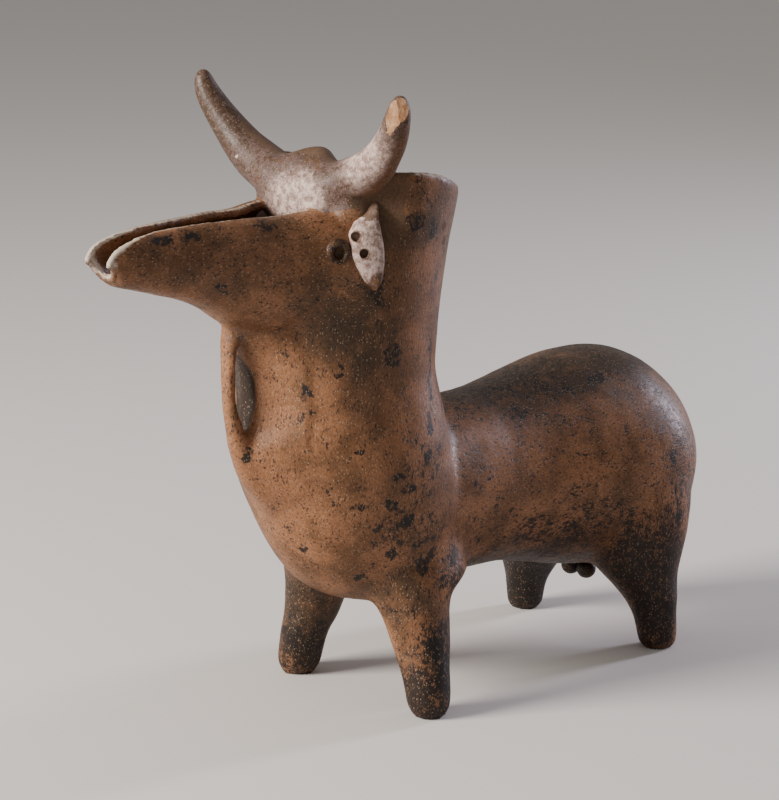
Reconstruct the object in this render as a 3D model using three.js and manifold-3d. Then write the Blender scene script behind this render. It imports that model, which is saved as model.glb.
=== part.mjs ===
// Bull-shaped pouring vessel in fired clay, built the way a potter builds it: every
// hand-made piece is a solid of its own, luted to its neighbours along a thin seam.
// Millimetres, +Z up. The bull looks along -Y and its left side is +X. The origin lies on
// the ground, midway between the muzzle and the rump.
import * as THREE from 'three';
import { mergeVertices } from 'three/addons/utils/BufferGeometryUtils.js';
import Module from 'manifold-3d';

const wasm = await Module();
wasm.setup();

// Clay, and how far a hollow's form runs on past what it cuts
const wall = 5;
const headWall = 4;
const rimEdge = 3;
const overrun = 40;
const seam = 0.3;
const clay = 0x9a6a45;
const dullClay = 0x83604a;
const paleClay = 0xc2a690;
const charredClay = 0x3a2c26;

// Chest, the upright front half of the body
const bellyHeight = 49;
const chestRadius = 52;
const chestHeight = 123;
const chestFullness = 2.35;
const chestFootY = -27;
const chestY = -41;

// Neck, a collar that flares to a mouth leaning back
const throatRadius = 48;
const throatHeight = 165;
const throatY = -45.7;
const mouthRadius = 53;
const mouthHeight = 250;
const mouthY = -36;

// The mouth's height along Y, and how far the neck is pinched in towards the brow
const mouthRim = [[-50, 261.4], [-38, 260.3], [-26, 257.9], [-17, 255], [-8, 251.6], [5, 247.4], [20, 243.5]];
const browPinch = 0.24;
const pinchAlong = [[-61, 1], [-42, 0]];
const pinchHeights = [[222, 0], [240, 1]];

// Trunk, a barrel lying behind the chest
const waistRadius = 43;
const waistY = 38;
const waistHeight = 95.5;
const haunchRadius = 56.3;
const haunchFlat = 0.99;
const rumpFullness = 2.12;
const haunchY = 126;
const haunchHeight = 93.5;
const rumpDrop = 2.5;
const rumpY = 183;
const trunkRootY = -33.7;

// The seam between chest and neck runs just over the trunk's root
const neckSeamRise = 8.5;
const neckSeamHeight = waistHeight + waistRadius + neckSeamRise;

// Head, a long trough drawn forward out of the neck, from muzzle to brow
const muzzleY = -179;
const browY = -61;
const headSeamHeight = 192;
const cheekHeight = 218;
const muzzleLean = 0.6;
const muzzleLeanLength = 30;

// Outlines of the head: distance behind the muzzle, then the size there
const keelHeights = [[0, 218.5], [17, 214], [36, 209.5], [54, 202.5], [66, 194.5], [84, 184]];
const floorHeights = [[0, 226.5], [9, 219.5], [34, 214], [52, 208], [69, 199], [84, 189]];
const rimHeights = [
  [0, 231.5], [4, 235], [10, 237.8], [20, 240], [34, 241.6], [84, 243.2], [102, 246.5], [118, 249.5],
];
const rimWidths = [[0, 7.6], [8, 9.6], [38, 9.2], [62, 11.6], [90, 16.8], [118, 18.5]];
const cheekWidths = [[0, 9.6], [14, 12], [34, 15.4], [52, 20.4], [78, 28], [103, 37], [118, 45.8]];
const cheekHeights = [[0, 226], [34, 226], [62, 222], [118, 212]];
const cheekFullness = [[0, 2], [118, 2.1]];

// Brow, the bridge of clay across the trough, with a knob on its middle
const browHeight = 252.8;
const bridgeHalf = 24;
const bridgeRadius = 11;
const knobX = 3;
const knobHalf = 11;
const knobRise = 6.8;
const knobPinch = 1.2;
const foreheadTilt = 0.5;

// Horns: reach from the middle, then offset behind the brow line and height
const hornAxis = [
  [18, -0.4, 252.2], [31.4, 1.3, 257.1], [42.2, 1.1, 262.8], [51, 0.2, 270.2], [58.9, -1.7, 279.2],
  [64.5, -3.9, 288], [66.6, -4.6, 293], [67.6, -4.8, 299.2],
];
const hornRadii = [
  [0, 11.3], [0.22, 10.8], [0.4, 9.5], [0.57, 8.1], [0.73, 6.9], [0.86, 5.7], [0.96, 3.9], [1, 1.5],
];

// Ears, flat leaves draped on the cheek under the horns: height, then front and back edge
const earFront = [
  [209, -61.5], [213, -65], [219, -67.8], [226, -69.8], [233, -71], [238, -68.6], [243, -63], [249, -55.5],
];
const earBack = [[209, -62], [213, -59.5], [221, -58], [230, -57.6], [239, -57], [249, -54.5]];
const earReach = [[209, 47.5], [226, 46.5], [238, 42.5], [249, 36]];
const earSlant = 0.55;
const earY = -61;
const earThickness = 5.6;
const earRoot = 9;
const earHoleRadius = 1.5;
const earHoles = [[-68.3, 232.9], [-67.2, 224.8]];

// Eyes, pellets with a deep pit
const eyeY = -75.5;
const eyeShare = 0.35;
const eyeRadius = 5.2;
const eyeDepth = 4;
const eyePitRadius = 2.9;
const eyeRise = 1.9;

// Dewlap, a strap down the throat that stands off the chest: height, then front and back
const strapFront = [
  [106, -90], [116, -99.5], [126, -106], [141, -110.6], [158, -113], [175, -113.6], [191, -112.4],
  [200, -111],
];
const strapBack = [
  [106, -80], [130, -90], [137, -96], [146, -102.5], [162, -106.2], [174, -105.8], [181, -101], [200, -84],
];
const strapWidths = [[106, 8], [120, 6.2], [145, 4], [170, 3.8], [185, 5.4], [200, 8]];

// Legs: height, then how far in from the sole, how far behind it, half width and half length
const footSpread = 47;
const frontFootY = -27;
const hindFootY = 133;
const soleRadius = 7.4;
const ankleRadius = 9.5;
const ankleHeight = 3.5;
const legTop = 90;
const frontInset = [[0, 0], [10, 1.4], [21, 4.6], [33, 9.4], [45, 13.4], [55, 17.5], [66, 23], [90, 30]];
const frontSetback = [[0, 0], [22, 1.3], [33, 3], [55, 3.9], [66, 9], [90, 9]];
const frontWidths = [[7, 10.6], [21, 11.8], [33, 13.9], [45, 16.1], [55, 19.3], [66, 25], [80, 25]];
const frontLengths = [[7, 10.6], [21, 11.8], [33, 13.9], [45, 16.1], [55, 19.8], [66, 30], [80, 30]];
const hindInset = [[0, 0], [12, 0.8], [24, 4], [31, 7.2], [36.5, 10.5], [41, 13], [60, 18], [90, 22]];
const hindSetback = [[0, 0], [24, -1], [36.5, -2.5], [60, -1], [90, -3]];
const hindWidths = [[10, 10.4], [17, 11.4], [24, 13.6], [31, 16.6], [41, 22.6], [60, 30], [85, 28]];
const hindLengths = [[10, 10.4], [17, 11.4], [24, 13.6], [31, 16.6], [41, 23], [60, 32], [85, 31]];
const foot = [[0, soleRadius], [ankleHeight, ankleRadius]];
const frontLeg = { inset: frontInset, setback: frontSetback, width: frontWidths, length: frontLengths };
const hindLeg = { inset: hindInset, setback: hindSetback, width: hindWidths, length: hindLengths };

// Pellets under the belly, side by side between the hind legs
const pelletRadius = 5;
const pelletSpread = 5.4;
const pelletY = 124;
const pelletDrop = 4.2;

// How finely the round forms are cut
const roundSides = 26;
const limbSides = 14;

const mix = (a, b, t) => a + (b - a) * t;
const clamp = (t, low, high) => Math.min(high, Math.max(low, t));
const ease = (t) => t * t * (3 - 2 * t);
const superArc = (t, fullness) => (1 - Math.min(1, Math.abs(t)) ** fullness) ** (1 / fullness);

// A value that runs smoothly through [place, value] pairs without overshooting them
function along(pairs, place) {
  const last = pairs.length - 1;
  const s = clamp(place, pairs[0][0], pairs[last][0]);
  const rate = (i) => (pairs[i + 1][1] - pairs[i][1]) / (pairs[i + 1][0] - pairs[i][0]);
  const slope = (i) => {
    if (i === 0) return rate(0);
    if (i === last) return rate(last - 1);
    const [a, b] = [rate(i - 1), rate(i)];
    return a * b <= 0 ? 0 : (2 * a * b) / (a + b);
  };
  const i = Math.min(last - 1, pairs.filter((pair) => pair[0] <= s).length - 1);
  const span = pairs[i + 1][0] - pairs[i][0];
  const t = (s - pairs[i][0]) / span;
  const u = 1 - t;
  const straight = pairs[i][1] * u * u * (1 + 2 * t) + pairs[i + 1][1] * t * t * (1 + 2 * u);
  return straight + span * u * t * (slope(i) * u - slope(i + 1) * t);
}

// A closed geometry as a solid that can be joined and cut
function solidOf(geometry) {
  const bare = geometry.clone();
  bare.deleteAttribute('normal');
  bare.deleteAttribute('uv');
  const merged = mergeVertices(bare, 1e-4);
  return new wasm.Manifold(new wasm.Mesh({
    numProp: 3,
    vertProperties: merged.attributes.position.array,
    triVerts: new Uint32Array(merged.index.array),
  }));
}

// Moves every point of a geometry by a rule of its own place
function warp(geometry, move) {
  const points = geometry.attributes.position;
  const v = new THREE.Vector3();
  for (let i = 0; i < points.count; i++) {
    v.fromBufferAttribute(points, i);
    move(v);
    points.setXYZ(i, v.x, v.y, v.z);
  }
  return geometry;
}

// A form turned on the Z axis from [radius, height] pairs that start and end on the axis
function turned(profile, sides) {
  const outline = profile.map(([radius, height]) => new THREE.Vector2(radius, height));
  return new THREE.LatheGeometry(outline, sides).rotateX(Math.PI / 2);
}

// A round bar along a curve, with a radius for each share of the way
function tapered(curve, radiusAt, sides, steps) {
  const frames = curve.computeFrenetFrames(steps, false);
  return warp(new THREE.CylinderGeometry(1, 1, 1, sides, steps), (v) => {
    const i = Math.round((0.5 - v.y) * steps);
    const radius = radiusAt(i / steps);
    const across = frames.normals[i].clone().multiplyScalar(v.x * radius);
    const up = frames.binormals[i].clone().multiplyScalar(v.z * radius);
    v.copy(curve.getPointAt(i / steps)).add(across).add(up);
  });
}

function block(low, high) {
  const size = high.map((value, i) => value - low[i]);
  const middle = high.map((value, i) => (value + low[i]) / 2);
  return solidOf(new THREE.BoxGeometry(...size).translate(...middle));
}

// Large enough to cut right through the vessel
const far = 400;

// All that lies on one side of the middle, half a seam away from it
function sideHalf(side) {
  const [low, high] = [seam / 2, far];
  return side > 0 ? block([low, -far, 0], [high, far, far]) : block([-high, -far, 0], [-low, far, far]);
}

// Chest and neck share one outline: radius and axis at each height
function jugRadius(z) {
  if (z < chestHeight) {
    const down = (chestHeight - z) / (chestHeight - bellyHeight);
    return chestRadius * superArc(down, chestFullness);
  }
  if (z < throatHeight) {
    return mix(chestRadius, throatRadius, ease((z - chestHeight) / (throatHeight - chestHeight)));
  }
  const up = (z - throatHeight) / (mouthHeight - throatHeight);
  return throatRadius + (mouthRadius - throatRadius) * up ** 2;
}

function jugAxis(z) {
  if (z < chestHeight) {
    return mix(chestFootY, chestY, clamp((z - bellyHeight) / (chestHeight - bellyHeight), 0, 1) ** 2);
  }
  if (z < throatHeight) return mix(chestY, throatY, (z - chestHeight) / (throatHeight - chestHeight));
  return throatY + (mouthY - throatY) * ((z - throatHeight) / (mouthHeight - throatHeight)) ** 1.5;
}

// The jug's outside moved out by grow, or its hollow where grow is minus the wall
function jug(grow) {
  const steps = 20;
  const top = mouthHeight + overrun;
  const profile = [];
  for (let i = 0; i <= steps; i++) {
    const z = mix(bellyHeight, top, (i / steps) ** 1.5);
    profile.push([i === 0 ? 0 : Math.max(jugRadius(z) + grow, 0.5), z - grow * (1 - i / steps)]);
  }
  profile.push([0, top]);
  return solidOf(warp(turned(profile, roundSides), (v) => {
    v.y += jugAxis(v.z);
    v.x *= 1 - browPinch * along(pinchAlong, v.y) * along(pinchHeights, v.z);
  }));
}

// The trunk: radius and axis height at each station along Y
function trunkSwell(y) {
  return ease(clamp((y - waistY) / (haunchY - waistY), 0, 1));
}

function trunkRadius(y) {
  if (y > haunchY) return haunchRadius * superArc((y - haunchY) / (rumpY - haunchY), rumpFullness);
  return mix(waistRadius, haunchRadius, trunkSwell(y));
}

function trunkAxis(y) {
  const rump = ease(clamp((y - haunchY) / (rumpY - haunchY), 0, 1));
  return mix(waistHeight, haunchHeight, trunkSwell(y)) - rumpDrop * rump;
}

function trunkBottom(y) {
  return trunkAxis(y) - trunkRadius(y) * mix(1, haunchFlat, trunkSwell(y));
}

function trunk(grow) {
  const steps = 14;
  const profile = [[0, trunkRootY]];
  for (let i = 0; i <= steps; i++) {
    const y = mix(trunkRootY, rumpY, 1 - (1 - i / steps) ** 1.6);
    profile.push([i === steps ? 0 : Math.max(trunkRadius(y) + grow, 0.5), y + grow * (i / steps)]);
  }
  return solidOf(warp(turned(profile, roundSides).rotateX(-Math.PI / 2), (v) => {
    v.z = trunkAxis(v.y) + v.z * mix(1, haunchFlat, trunkSwell(v.y));
  }));
}

// The head's cross-section at a distance behind the muzzle. The turn runs from 0 at the
// keel, past the cheek, to 1 at the middle of the top.
const cheekTurn = 0.44;
const rimTurn = 0.9;

function headPoint(distance, turn, grow, bottoms) {
  const keel = along(bottoms, distance) - Math.max(grow, 0);
  const rim = along(rimHeights, distance) + grow;
  const cheek = along(cheekHeights, distance);
  const half = along(cheekWidths, distance) + grow;
  const slot = along(rimWidths, distance) + rimEdge / 2 + grow * (rimEdge / headWall);
  const fullness = along(cheekFullness, distance);
  if (turn <= cheekTurn) {
    const a = (turn / cheekTurn) * (Math.PI / 2);
    const power = 2 / Math.min(fullness, 2.6);
    return [half * Math.sin(a) ** power, cheek - (cheek - keel) * Math.max(Math.cos(a), 0) ** power];
  }
  if (turn <= rimTurn) {
    const a = ((turn - cheekTurn) / (rimTurn - cheekTurn)) * (Math.PI / 2);
    const power = 2 / fullness;
    return [
      slot + (half - slot) * Math.max(Math.cos(a), 0) ** power,
      cheek + (rim - cheek) * Math.sin(a) ** power,
    ];
  }
  return [slot * ((1 - turn) / (1 - rimTurn)), rim];
}

function headForm(grow, bottoms, start, end, raise) {
  const steps = 16;
  return solidOf(warp(new THREE.CylinderGeometry(1, 1, 1, roundSides, steps), (v) => {
    const distance = mix(start, end, (0.5 - v.y) ** 1.3);
    const radius = Math.hypot(v.x, v.z);
    const turn = Math.acos(clamp(v.z / Math.max(radius, 1e-6), -1, 1)) / Math.PI;
    let [x, z] = headPoint(distance, turn, grow, bottoms);
    if (turn > (cheekTurn + rimTurn) / 2) z += raise;
    if (radius < 0.5) [x, z] = [0, along(cheekHeights, distance)];
    const lean = muzzleLean * (1 - clamp(distance / muzzleLeanLength, 0, 1));
    v.set(Math.sign(v.x) * x, muzzleY + distance - lean * (z - along(cheekHeights, 0)), z);
  }));
}

const headLength = browY - muzzleY;
const jugOutside = jug(0);
const jugSeam = jug(seam);
const jugHollow = jug(-wall);
const trunkSeam = trunk(seam);
const trunkHollow = trunk(-wall);
const headSeam = headForm(seam, keelHeights, -seam, headLength + seam, 0);
const troughHollow = headForm(-headWall, floorHeights, -overrun / 2, headLength + overrun / 2, overrun / 3);

// Brow bridge: a bar along X that swells into the knob and runs down the forehead
function bridge(grow) {
  const steps = 12;
  const bar = new THREE.CylinderGeometry(1, 1, 2 * bridgeHalf, limbSides, steps).rotateZ(-Math.PI / 2);
  return solidOf(warp(bar, (v) => {
    const middle = Math.exp(-(((v.x - knobX) / knobHalf) ** 2));
    const tilt = foreheadTilt * middle;
    const tall = v.z * (bridgeRadius + knobRise * middle + grow);
    const deep = v.y * (bridgeRadius - knobPinch * middle + grow);
    const y = deep * Math.cos(tilt) + tall * Math.sin(tilt);
    const z = tall * Math.cos(tilt) - deep * Math.sin(tilt);
    v.set(v.x * (1 + grow / bridgeHalf), browY + y, browHeight + z);
  }));
}

function horn(side, grow) {
  const points = hornAxis.map(([x, y, z]) => new THREE.Vector3(side * x, browY + y, z));
  const axis = new THREE.CatmullRomCurve3(points);
  const bar = solidOf(tapered(axis, (share) => along(hornRadii, share) + grow, limbSides, 13));
  const root = side > 0
    ? block([-far, -far, 0], [bridgeHalf + seam - grow, far, far])
    : block([-bridgeHalf - seam + grow, -far, 0], [far, far, far]);
  return bar.subtract(root);
}

const bridgeSeam = bridge(seam);
const hornSeam = { 1: horn(1, seam), '-1': horn(-1, seam) };

// Above the cheeks the neck gives way to the head
function neckOutside(grow) {
  return jug(grow).subtract(block([-far, -far, cheekHeight + grow], [far, browY - grow, far]));
}

const neckSeam = neckOutside(seam);

function chestPiece() {
  const above = block([-far, -far, neckSeamHeight], [far, far, far]);
  return jugOutside.subtract(jugHollow).subtract(above).subtract(trunkHollow);
}

function neckPiece() {
  const below = block([-far, -far, 0], [far, far, neckSeamHeight + seam]);
  const front = block([-far, -far, headSeamHeight], [far, browY, far]);
  const above = warp(new THREE.BoxGeometry(far, far, far, 1, 80, 1), (v) => {
    v.z = v.z < 0 ? along(mouthRim, v.y) : far;
  });
  return neckOutside(0).subtract(jugHollow).subtract(below).subtract(front).subtract(solidOf(above))
    .subtract(bridgeSeam).subtract(hornSeam[1]).subtract(hornSeam[-1]);
}

function trunkPiece() {
  return trunk(0).subtract(trunkHollow).subtract(jugSeam);
}

function headPiece() {
  const throatBlock = block([-far, -far, headSeamHeight + seam], [far, browY - seam, cheekHeight]);
  const neckInside = jugHollow.intersect(block([-far, -far, 0], [far, far, cheekHeight]));
  const neckBelow = jugSeam.intersect(block([-far, -far, 0], [far, far, headSeamHeight + seam]));
  return headForm(0, keelHeights, 0, headLength - seam, 0).add(jugOutside.intersect(throatBlock))
    .subtract(troughHollow).subtract(neckInside).subtract(neckBelow)
    .subtract(bridgeSeam).subtract(hornSeam[1]).subtract(hornSeam[-1]);
}

function earPiece(side) {
  const [low, high] = [earFront[0][0], earFront[earFront.length - 1][0]];
  const leaf = warp(new THREE.SphereGeometry(1, 16, 12).rotateX(Math.PI / 2), (v) => {
    const round = Math.max(Math.hypot(v.x, v.y), 1e-6);
    const z = mix(low, high, (v.z + 1) / 2);
    const [front, back] = [along(earFront, z), along(earBack, z)];
    const y = (front + back) / 2 + (v.y / round) * ((back - front) / 2) * Math.min(1, round * 3);
    const depth = side * v.x > 0 ? earThickness / 2 : earRoot;
    const out = (v.x / round) * depth * Math.min(1, round * 1.6);
    v.set(side * (along(earReach, z) + earSlant * (y - earY)) + out, y, z);
  });
  let ear = solidOf(leaf);
  for (const [y, z] of earHoles) {
    const hole = new THREE.CylinderGeometry(earHoleRadius, earHoleRadius, earThickness, 12);
    hole.rotateZ(Math.PI / 2 - side * Math.atan(earSlant));
    hole.translate(side * (along(earReach, z) + earSlant * (y - earY) + earThickness / 4), y, z);
    ear = ear.subtract(solidOf(hole));
  }
  return ear.subtract(neckSeam).subtract(headSeam).subtract(hornSeam[side]);
}

// Where the side of the head lies at a place along Y and a height
function sideAt(y, z) {
  const distance = y - muzzleY;
  const [cheek, rim] = [along(cheekHeights, distance), along(rimHeights, distance)];
  const slot = along(rimWidths, distance) + rimEdge / 2;
  const share = clamp((z - cheek) / (rim - cheek), 0, 1);
  return mix(slot, along(cheekWidths, distance), superArc(share, along(cheekFullness, distance)));
}

function eyePiece(side) {
  const profile = [
    [0, -eyeDepth], [eyeRadius, -eyeDepth], [eyeRadius, eyeRise * 0.3], [eyeRadius * 0.84, eyeRise],
    [eyePitRadius * 1.1, eyeRise * 0.9], [eyePitRadius * 0.7, -eyeRise * 0.1], [0, -eyeRise * 0.4],
  ];
  const distance = eyeY - muzzleY;
  const height = mix(along(cheekHeights, distance), along(rimHeights, distance), eyeShare);
  const narrowing = sideAt(eyeY + eyeRadius, height) - sideAt(eyeY - eyeRadius, height);
  const pellet = turned(profile, 16).rotateY(side * Math.PI / 2);
  pellet.rotateZ(-side * Math.atan2(narrowing, 2 * eyeRadius));
  pellet.translate(side * sideAt(eyeY, height), eyeY, height);
  return solidOf(pellet).subtract(neckSeam).subtract(headSeam);
}

function dewlapPiece() {
  const [low, high] = [strapFront[0][0], strapFront[strapFront.length - 1][0]];
  const strap = warp(new THREE.CylinderGeometry(1, 1, 1, 14, 16), (v) => {
    const z = mix(low, high, v.y + 0.5);
    const [front, back] = [along(strapFront, z), along(strapBack, z)];
    v.set(v.x * along(strapWidths, z), (front + back) / 2 - v.z * (back - front) / 2, z);
  });
  return solidOf(strap).subtract(jugSeam).subtract(headSeam);
}

function legPiece(side, footY, leg) {
  const steps = 13;
  const profile = [[0, 0]];
  for (let i = 0; i <= steps; i++) profile.push([1, legTop * (i / steps) ** 1.2]);
  profile.push([0, legTop]);
  const bar = warp(turned(profile, limbSides), (v) => {
    v.x = side * (footSpread - along(leg.inset, v.z)) + v.x * along([...foot, ...leg.width], v.z);
    v.y = footY + along(leg.setback, v.z) + v.y * along([...foot, ...leg.length], v.z);
  });
  return solidOf(bar).subtract(jugSeam).subtract(trunkSeam).intersect(sideHalf(side));
}

function pelletPiece(side) {
  const ball = new THREE.SphereGeometry(pelletRadius, 14, 10);
  ball.translate(side * pelletSpread, pelletY, trunkBottom(pelletY) - pelletDrop);
  return solidOf(ball).subtract(trunkSeam).intersect(sideHalf(side));
}

const vessel = new THREE.Group();

function place(name, solid, color, roughness) {
  const mesh = solid.getMesh();
  const geometry = new THREE.BufferGeometry();
  geometry.setAttribute('position', new THREE.BufferAttribute(mesh.vertProperties, 3));
  geometry.setIndex(new THREE.BufferAttribute(mesh.triVerts, 1));
  const piece = new THREE.Mesh(geometry, new THREE.MeshStandardMaterial({ color, roughness, metalness: 0 }));
  piece.name = name;
  vessel.add(piece);
}

place('chest', chestPiece(), clay, 0.5);
place('neck', neckPiece(), clay, 0.5);
place('trunk', trunkPiece(), clay, 0.45);
place('spout', headPiece(), dullClay, 0.5);
place('brow', bridge(0), paleClay, 0.6);
place('dewlap', dewlapPiece(), clay, 0.5);
for (const [word, side] of [['left', 1], ['right', -1]]) {
  place(`horn_${word}`, horn(side, 0), paleClay, 0.6);
  place(`ear_${word}`, earPiece(side), paleClay, 0.65);
  place(`eye_${word}`, eyePiece(side), dullClay, 0.6);
  place(`leg_front_${word}`, legPiece(side, frontFootY, frontLeg), charredClay, 0.55);
  place(`leg_hind_${word}`, legPiece(side, hindFootY, hindLeg), charredClay, 0.55);
  place(`pellet_${word}`, pelletPiece(side), clay, 0.6);
}

export default vessel;
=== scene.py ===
import bpy
import math
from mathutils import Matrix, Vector
from mathutils.kdtree import KDTree


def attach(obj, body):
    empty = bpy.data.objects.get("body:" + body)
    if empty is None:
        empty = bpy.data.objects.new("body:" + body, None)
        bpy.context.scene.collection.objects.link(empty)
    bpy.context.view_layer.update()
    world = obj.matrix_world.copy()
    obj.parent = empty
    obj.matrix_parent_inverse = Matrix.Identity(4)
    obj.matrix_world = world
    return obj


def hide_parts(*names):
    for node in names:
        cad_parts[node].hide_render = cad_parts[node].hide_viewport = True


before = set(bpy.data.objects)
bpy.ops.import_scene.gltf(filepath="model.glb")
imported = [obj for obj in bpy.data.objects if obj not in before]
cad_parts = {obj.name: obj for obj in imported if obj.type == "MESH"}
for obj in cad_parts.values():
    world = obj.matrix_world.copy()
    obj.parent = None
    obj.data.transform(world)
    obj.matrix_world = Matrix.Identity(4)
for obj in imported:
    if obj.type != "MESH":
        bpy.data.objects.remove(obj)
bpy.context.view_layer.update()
print("frame loaded")

# sizes below are in mm, in the frame of the CAD
mm = 0.001
sides = (("left", 1), ("right", -1))
clayWall = {"thick": 5.0, "head": 4.0, "rim": 3.0, "overrun": 40.0}


def mix(a, b, t):
    return a + (b - a) * t


def clamp(t, low=0.0, high=1.0):
    return min(high, max(low, t))


def ease(t):
    t = clamp(t)
    return t * t * (3 - 2 * t)


def share(value, start, end):  # 0 at the start and 1 at the end
    return (value - start) / (end - start)


def ramp(value, start, end):
    return ease(share(value, start, end))


def superArc(t, fullness):
    return (1 - min(1, abs(t)) ** fullness) ** (1 / fullness)


def along(pairs, place):  # a smooth value through (place, value) pairs, with no overshoot
    last = len(pairs) - 1
    s = clamp(place, pairs[0][0], pairs[last][0])
    rates = [(pairs[i + 1][1] - pairs[i][1]) / (pairs[i + 1][0] - pairs[i][0]) for i in range(last)]
    slopes = [rates[0]]
    for a, b in zip(rates, rates[1:]):
        slopes.append(0 if a * b <= 0 else 2 * a * b / (a + b))
    slopes.append(rates[-1])
    i = min(last - 1, len([p for p in pairs if p[0] <= s]) - 1)
    span = pairs[i + 1][0] - pairs[i][0]
    t = (s - pairs[i][0]) / span
    u = 1 - t
    straight = pairs[i][1] * u * u * (1 + 2 * t) + pairs[i + 1][1] * t * t * (1 + 2 * u)
    return straight + span * u * t * (slopes[i] * u - slopes[i + 1] * t)


def only(obj):
    if bpy.context.object and bpy.context.object.mode != "OBJECT":
        bpy.ops.object.mode_set(mode="OBJECT")
    bpy.ops.object.select_all(action="DESELECT")
    obj.select_set(True)
    bpy.context.view_layer.objects.active = obj


def apply(obj, kind, **settings):
    only(obj)
    modifier = obj.modifiers.new(kind.lower(), kind)
    for key, value in settings.items():
        setattr(modifier, key, value)
    bpy.ops.object.modifier_apply(modifier=modifier.name)


def edit(obj, step, **settings):  # one step of edit mode on the whole mesh
    only(obj)
    bpy.ops.object.mode_set(mode="EDIT")
    bpy.ops.mesh.select_all(action="SELECT")
    step(**settings)
    bpy.ops.object.mode_set(mode="OBJECT")


def added(name, step, **settings):  # a new mesh, with its place, turn and size taken into it
    bpy.ops.object.select_all(action="DESELECT")
    step(**settings)
    obj = bpy.context.object
    obj.name = name
    bpy.ops.object.transform_apply(location=True, rotation=True, scale=True)
    return obj


def tube(name, rule, corners, steps):  # a capped tube, drawn out ring by ring, then shaped
    obj = added(name, bpy.ops.mesh.primitive_circle_add, vertices=corners, radius=1, fill_type="NGON",
                location=(0, 0, 0))
    bpy.ops.object.mode_set(mode="EDIT")
    bpy.ops.mesh.select_all(action="SELECT")
    for _ in range(steps):
        bpy.ops.mesh.extrude_region_move(TRANSFORM_OT_translate={"value": (0, 0, 1 / steps)})
    bpy.ops.object.mode_set(mode="OBJECT")
    for v in obj.data.vertices:
        v.co = Vector(rule(v.co.x, v.co.y, clamp(v.co.z))) * mm
    edit(obj, bpy.ops.mesh.normals_make_consistent, inside=False)
    return obj


def sweep(name, points, radius, corners):  # a tube along points, without twist
    last = len(points) - 1
    forwards = [(points[min(i + 1, last)] - points[max(i - 1, 0)]).normalized() for i in range(last + 1)]
    outs = [forwards[0].orthogonal().normalized()]
    for forward in forwards[1:]:
        outs.append((outs[-1] - forward * outs[-1].dot(forward)).normalized())

    def rule(x, y, t):
        i = round(t * last)
        wide = radius(t)
        return points[i] + outs[i] * x * wide + forwards[i].cross(outs[i]) * y * wide

    return tube(name, rule, corners, last)


def joined(objects, name):
    only(objects[0])
    for obj in objects:
        obj.select_set(True)
    bpy.ops.object.join()
    obj = bpy.context.object
    obj.name = name
    return obj


def fused(objects, name, voxel, rounds):
    obj = joined(objects, name)
    apply(obj, "REMESH", mode="VOXEL", voxel_size=voxel * mm, adaptivity=0)
    apply(obj, "SMOOTH", factor=0.5, iterations=rounds)
    return obj


def cut(obj, tool, how="DIFFERENCE", keep=False):
    apply(obj, "BOOLEAN", operation=how, object=tool, solver="MANIFOLD")
    if not keep:
        bpy.data.objects.remove(tool)


def newMaterial(name):
    material = bpy.data.materials.new(name)
    material.use_nodes = True
    return material, material.node_tree, material.node_tree.nodes["Principled BSDF"]


# jug: chest and neck
jugForm = {
    "bellyHeight": 49.0, "chestRadius": 52.0, "chestHeight": 123.0, "chestFullness": 2.35,
    "chestFootY": -27.0, "chestY": -41.0,
    "throatRadius": 48.0, "throatHeight": 165.0, "throatY": -45.7,
    "mouthRadius": 53.0, "mouthHeight": 250.0, "mouthY": -36.0,
    "mouthRim": [(-50, 261.4), (-38, 260.3), (-26, 257.9), (-17, 255), (-8, 251.6), (5, 247.4),
                 (20, 243.5)],
    "browPinch": 0.24, "pinchAlong": [(-61, 1), (-42, 0)], "pinchHeights": [(222, 0), (240, 1)],
}


def jugRadius(z):
    j = jugForm
    if z < j["chestHeight"]:
        down = share(z, j["chestHeight"], j["bellyHeight"])
        return j["chestRadius"] * superArc(down, j["chestFullness"])
    if z < j["throatHeight"]:
        return mix(j["chestRadius"], j["throatRadius"], ramp(z, j["chestHeight"], j["throatHeight"]))
    up = share(z, j["throatHeight"], j["mouthHeight"])
    return j["throatRadius"] + (j["mouthRadius"] - j["throatRadius"]) * up ** 2


def jugAxis(z):
    j = jugForm
    if z < j["chestHeight"]:
        up = clamp(share(z, j["bellyHeight"], j["chestHeight"])) ** 2
        return mix(j["chestFootY"], j["chestY"], up)
    if z < j["throatHeight"]:
        return mix(j["chestY"], j["throatY"], share(z, j["chestHeight"], j["throatHeight"]))
    up = share(z, j["throatHeight"], j["mouthHeight"])
    return j["throatY"] + (j["mouthY"] - j["throatY"]) * up ** 1.5


def jugTube(name, grow):
    top = jugForm["mouthHeight"] + clayWall["overrun"]

    def rule(x, y, t):
        z = mix(jugForm["bellyHeight"], top, t ** 1.5)
        radius = max(jugRadius(z) + grow, 0.5)
        y = jugAxis(z) + y * radius
        pinch = jugForm["browPinch"] * along(jugForm["pinchAlong"], y) * along(jugForm["pinchHeights"], z)
        return x * radius * (1 - pinch), y, z - grow * (1 - t)

    return tube(name, rule, 72, 44)


# trunk
trunkForm = {
    "rootY": -33.7, "waistRadius": 43.0, "waistY": 38.0, "waistHeight": 95.5,
    "haunchRadius": 56.3, "haunchFlat": 0.99, "haunchY": 126.0, "haunchHeight": 93.5,
    "rumpFullness": 2.12, "rumpDrop": 2.5, "rumpY": 183.0,
}


def trunkSwell(y):
    return ramp(y, trunkForm["waistY"], trunkForm["haunchY"])


def trunkRadius(y):
    t = trunkForm
    if y > t["haunchY"]:
        back = share(y, t["haunchY"], t["rumpY"])
        return t["haunchRadius"] * superArc(back, t["rumpFullness"])
    return mix(t["waistRadius"], t["haunchRadius"], trunkSwell(y))


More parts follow.
